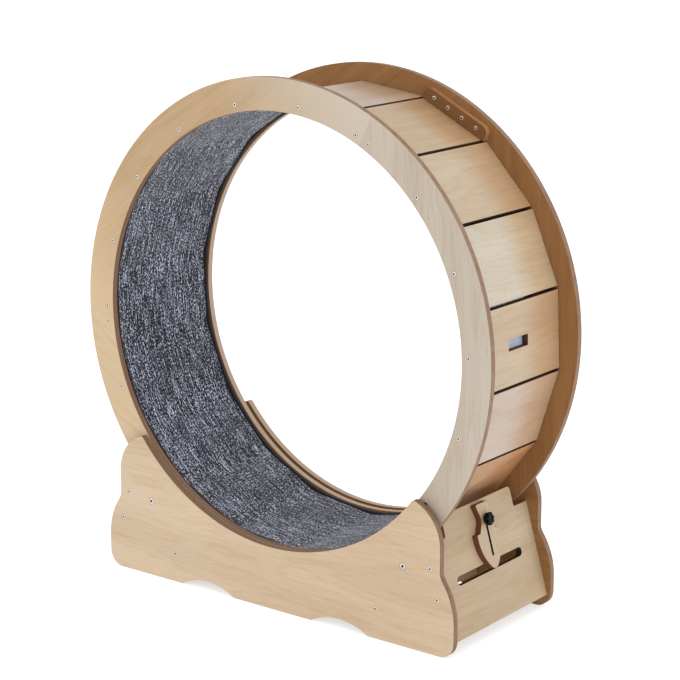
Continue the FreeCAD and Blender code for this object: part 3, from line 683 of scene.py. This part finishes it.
def flat_angle(angle):
    """How far an angle is from the middle of the board under it, in radians."""
    offset = (angle - FIRST_BOARD + BOARD_PITCH / 2) % BOARD_PITCH - BOARD_PITCH / 2
    return math.radians(offset)


def mat_reach(apothem, limit, angle):
    """The distance from the axis to a flat of the mat, eased round the corners."""
    flat = apothem / math.cos(flat_angle(angle))
    total = math.exp(-CORNER_SHARPNESS * flat) + math.exp(-CORNER_SHARPNESS * limit)
    return -math.log(total) / CORNER_SHARPNESS


def carpet_section(angle):
    pile = mat_reach(CARPET_FLAT + PILE_DROP, PILE_LIMIT, angle)
    back = mat_reach(CARPET_BACK, BACK_LIMIT, angle)
    top = []
    for row in range(CARPET_ROWS + 1):
        y = CARPET_HALF * (2.0 * row / CARPET_ROWS - 1.0)
        curl = max(0.0, (abs(y) - (CARPET_HALF - EDGE_CURL_WIDTH)) / EDGE_CURL_WIDTH)
        top.append((pile + EDGE_CURL * curl ** 2, y))
    return top + [(back, CARPET_HALF), (back, -CARPET_HALF)]


def binding_section(angle, side):
    """The oval round the mat's edge, side -1 in front and +1 at the rear."""
    pile = mat_reach(CARPET_FLAT - BINDING_PROUD, BINDING_LIMIT, angle)
    back = mat_reach(CARPET_BACK, BACK_LIMIT, angle)
    middle = (pile + back) / 2
    tall = (back - pile) / 2
    centre = side * (CARPET_HALF - BINDING_INSET)
    turns = [2 * math.pi * k / BINDING_SIDES for k in range(BINDING_SIDES)]
    return [(middle - tall * math.sin(turn), centre + side * BINDING_HALF * math.cos(turn))
            for turn in turns]


def make_carpet():
    around = BOARD_COUNT * CARPET_STEPS
    carpet = new_piece("carpet_mat", *tube(carpet_section, around), "wheel", "grey_carpet",
                       [carpet_material()], 60.0)
    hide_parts("carpet")
    for name, side in (("carpet_binding_front", -1), ("carpet_binding_rear", 1)):
        shape = tube(lambda angle: binding_section(angle, side), around)
        new_piece(name, *shape, "wheel", "grey_carpet", [BINDING], 80.0)


# ---------------------------------------------------------------- star knob

KNOB_LOBES = 7
KNOB_STEPS = 84
KNOB_TURN = 0.2


def lobes(radius, angle):
    ripple = abs(math.cos(KNOB_LOBES / 2 * angle)) ** 0.8
    return radius * (0.70 + 0.27 * ripple)


def make_knob():
    """The black star knob: rounded lobes with a raised middle, as large as its solid."""
    low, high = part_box("brake_knob")
    out = end_frame(1)[0]
    middle = (low + high) / 2
    corners = [Vector(v.co) - middle for v in frame["nodes"]["brake_knob"].data.vertices]
    heights = [corner.dot(out) for corner in corners]
    base, top = min(heights), max(heights)
    tall = top - base
    outer = max((corner - out * corner.dot(out)).length for corner in corners)
    profile = [
        (0.0, top - tall * 0.10, None),
        (outer * 0.30, top - tall * 0.10, None),
        (outer * 0.38, top - tall * 0.02, None),
        (outer * 0.55, top, lobes),
        (outer * 0.86, top - tall * 0.05, lobes),
        (outer * 0.97, top - tall * 0.16, lobes),
        (outer, top - tall * 0.30, lobes),
        (outer * 0.99, base + tall * 0.30, lobes),
        (outer * 0.90, base + tall * 0.20, lobes),
        (outer * 0.66, base + tall * 0.14, None),
        (outer * 0.60, base, None),
    ]
    vertices, faces = lathe(profile, middle, out, KNOB_TURN, KNOB_STEPS)
    knob = new_piece("star_knob", vertices, faces, "knob", "black_plastic", [BLACK], 50.0)
    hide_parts("brake_knob")


# ---------------------------------------------------------------- dressing the CAD nodes

EASED = 0.0005                  # the boards' sanded edges
MOULDED = 0.0004
GROUND = 0.0003
TURNED = 0.0002

# Painted reflection and shade on the running boards: they go tan towards the rear ring, as the
# reflection of its raw face and the shade near it, and black right beside it, as painted shadow in
# the corner.
PAINTED_TAN_NEAR_REAR = (REAR_OUT, 0.01, 0.07, 0.8, (244, 218, 188), "MULTIPLY")
PAINTED_CORNER_SHADOW = (REAR_OUT, 0.1292, 0.1302, 0.8, PAINTED_SHADE_BLACK, "MIX")


def dress(node, material, width):
    """Give a CAD node a material on its object, and ease its sharp edges by a bevel."""
    piece = frame["nodes"][node]
    for slot in piece.material_slots:
        slot.link = "OBJECT"
        slot.material = material
    weld = piece.modifiers.new("weld", "WELD")
    weld.merge_threshold = 1e-6
    bevel = piece.modifiers.new("eased_edges", "BEVEL")
    bevel.width = width
    bevel.segments = 2
    bevel.limit_method = "ANGLE"
    bevel.angle_limit = math.radians(40.0)


def dress_board(node, out, along, tone, seed, **settings):
    """Dress a wooden piece. The seeds below only have to differ from board to board."""
    dress(node, wood(node + "_wood", out, along, tone, seed, **settings), EASED)


def left_segment_fades(along):
    """The left segment turns to cream at its lower end and to ivory at its upper one."""
    level = AXLE.dot(along)
    return [(along, level + 0.17, level + 0.37, 0.9, CREAM, "MIX"),
            (-along, 0.10 - level, 0.36 - level, 0.95, IVORY, "MIX")]


def dress_wheel():
    for face, out in FACES.items():
        for number in range(SEGMENT_COUNT):
            middle = FIRST_BOARD + number * SEGMENT_ANGLE
            seam = middle + SEGMENT_ANGLE / 2
            along = tangent(middle)
            # the rings' bores carry painted shade at the front and painted light at the rear
            dress_board(f"{face}_ring_segment_{number + 1}", out, along, RING_TONES[number],
                        7.3 * number + (40.0 if face == "rear" else 0.0),
                        shades=left_segment_fades(along) if number == 1 else (),
                        rim=RIM_LIGHT_AND_SHADE[face])
            dress_board(f"{face}_splice_plate_{number + 1}", out, tangent(seam), "tan",
                        5.1 * number + 60.0, edge=GOLDEN_EDGE, raw=RAW_DARK)
    for index, (node, tone) in enumerate(zip(RUNNING_BOARDS, BOARD_TONES)):
        out = radial(FIRST_BOARD + index * BOARD_PITCH)
        # painted reflection and shade near the rear ring, and painted shade on the edges in the
        # gaps
        dress_board(node, out, REAR_OUT, tone, 11.7 * index, shades=[PAINTED_TAN_NEAR_REAR, PAINTED_CORNER_SHADOW],
                    edge=SCORCHED_AND_SHADED_EDGE)


def dress_base():
    for face, out in FACES.items():
        # painted shade on the panels' edges, with painted light and shade on their saddle rims
        dress_board(f"{face}_side_panel", out, RIGHT, "panel", 3.0 if face == "front" else 93.0,
                    edge=SHADED_CUT_EDGE, rim=RIM_LIGHT_AND_SHADE[face])
    for side, node in ((-1, "left_end_board"), (1, "right_end_board")):
        out, across, up = end_frame(side)
        hand_slot = AXLE.dot(up) - HAND_SLOT_DROP
        # painted shade: darkened edges, and black cut edges in the hand slot
        dress_board(node, out, across, "shaded", 20.0 + side, edge=SHADED_CUT_EDGE,
                    burnt=[(up, hand_slot, 0.015)])
    out, across, up = end_frame(1)
    brake_slot = AXLE.dot(up) - BRAKE_SLOT_DROP
    # painted shade: the plate's dark edges and the black walls of its slot
    dress_board("brake_plate", out, up, "shaded", 33.0, edge=UMBER,
                burnt=[(across, 0.0, 0.004), (up, brake_slot, 0.045)])
    for side, node in ((-1, "left_cross_rail"), (1, "right_cross_rail")):
        dress_board(node, side * RIGHT, REAR_OUT, "panel", 50.0 + side, both=True)


def dress_fittings():
    for corner in ("front_left", "front_right", "rear_left", "rear_right"):
        dress("roller_tyre_" + corner, NYLON, MOULDED)
        dress("roller_bearing_" + corner, STEEL, GROUND)
    for node in ("roller_spacers", "roller_lock_nuts", "brake_bolt", "brake_washer"):
        dress(node, NICKEL, TURNED)
    dress("knob_insert", BRASS, TURNED)


# ---------------------------------------------------------------- light, floor and camera

FLOOR_HALF = 40.0
FLOOR_DROP = 0.0005             # under the feet, so that the two faces don't fight
TABLE_WHITE = ((205, 205, 205), (201, 201, 201))
TABLE_GLOW = 0.62
STUDIO_GLOW = 1.06
SOFTBOXES = [
    # name, place, what it looks at, width, height, watts
    ("softbox_top", (0.6, -0.8, 3.4), (0, 0, 0.4), 3.0, 3.0, 16.0),
    ("softbox_left", (-2.6, -3.2, 2.0), (0, 0, 0.5), 2.4, 2.4, 16.0),
    ("softbox_right", (3.6, -1.0, 1.8), (0, 0, 0.5), 2.0, 2.4, 22.0),
]
# The camera, as it was solved from the photograph: its place, direction and lens.
CAMERA_PLACE = (2.2830, -2.9407, 1.4008)
CAMERA_LOOK = (-0.5897, 0.7706, -0.2418)
CAMERA_SENSOR = 36.0
CAMERA_LENS = 111.15


def add_object(name, data):
    item = bpy.data.objects.new(name, data)
    bpy.context.scene.collection.objects.link(item)
    return item


def look_along(item, place, direction):
    item.location = place
    item.rotation_mode = "QUATERNION"
    item.rotation_quaternion = Vector(direction).to_track_quat("-Z", "Y")


def make_stage():
    """A white table of frosted sheet that glows softly."""
    graph = Graph("studio_floor")
    cloud = graph.noise(graph.split(graph.place()), (0.8, 0.8, 0.8))
    colour = graph.two_tones(graph.span(cloud, 0.3, 0.7), TABLE_WHITE)
    material = graph.finish(colour, 0.9, Specular_IOR_Level=0.0, Emission_Color=WHITE,
                            Emission_Strength=TABLE_GLOW)
    corners = [(x * FLOOR_HALF, y * FLOOR_HALF, 0)
               for x, y in ((-1, -1), (1, -1), (1, 1), (-1, 1))]
    mesh = bpy.data.meshes.new("studio_floor")
    mesh.from_pydata(corners, [], [(0, 1, 2, 3)])
    mesh.materials.append(material)
    floor = add_object("studio_floor", mesh)
    floor.location.z = -FLOOR_DROP


def make_light():
    world = bpy.data.worlds.new("studio")
    world.use_nodes = True
    background = world.node_tree.nodes["Background"]
    background.inputs["Color"].default_value = WHITE
    background.inputs["Strength"].default_value = STUDIO_GLOW
    bpy.context.scene.world = world
    bpy.context.scene.view_settings.view_transform = "Standard"
    for name, place, target, width, height, power in SOFTBOXES:
        data = bpy.data.lights.new(name, "AREA")
        data.shape = "RECTANGLE"
        data.size = width
        data.size_y = height
        data.energy = power
        look_along(add_object(name, data), place, Vector(target) - Vector(place))


def make_camera():
    data = bpy.data.cameras.new("photo_camera")
    data.sensor_width = CAMERA_SENSOR
    data.lens = CAMERA_LENS
    camera = add_object("photo_camera", data)
    look_along(camera, CAMERA_PLACE, CAMERA_LOOK)
    bpy.context.scene.camera = camera


make_camera()
make_light()
make_stage()
dress_wheel()
dress_base()
dress_fittings()
make_carpet()
make_knob()
for group in FACING:
    make_screws(group, "base" if group.startswith("base") else "wheel")
make_screws("roller_axle_bolts", "base", BOLT_SHANK, BOLT_LENGTH)
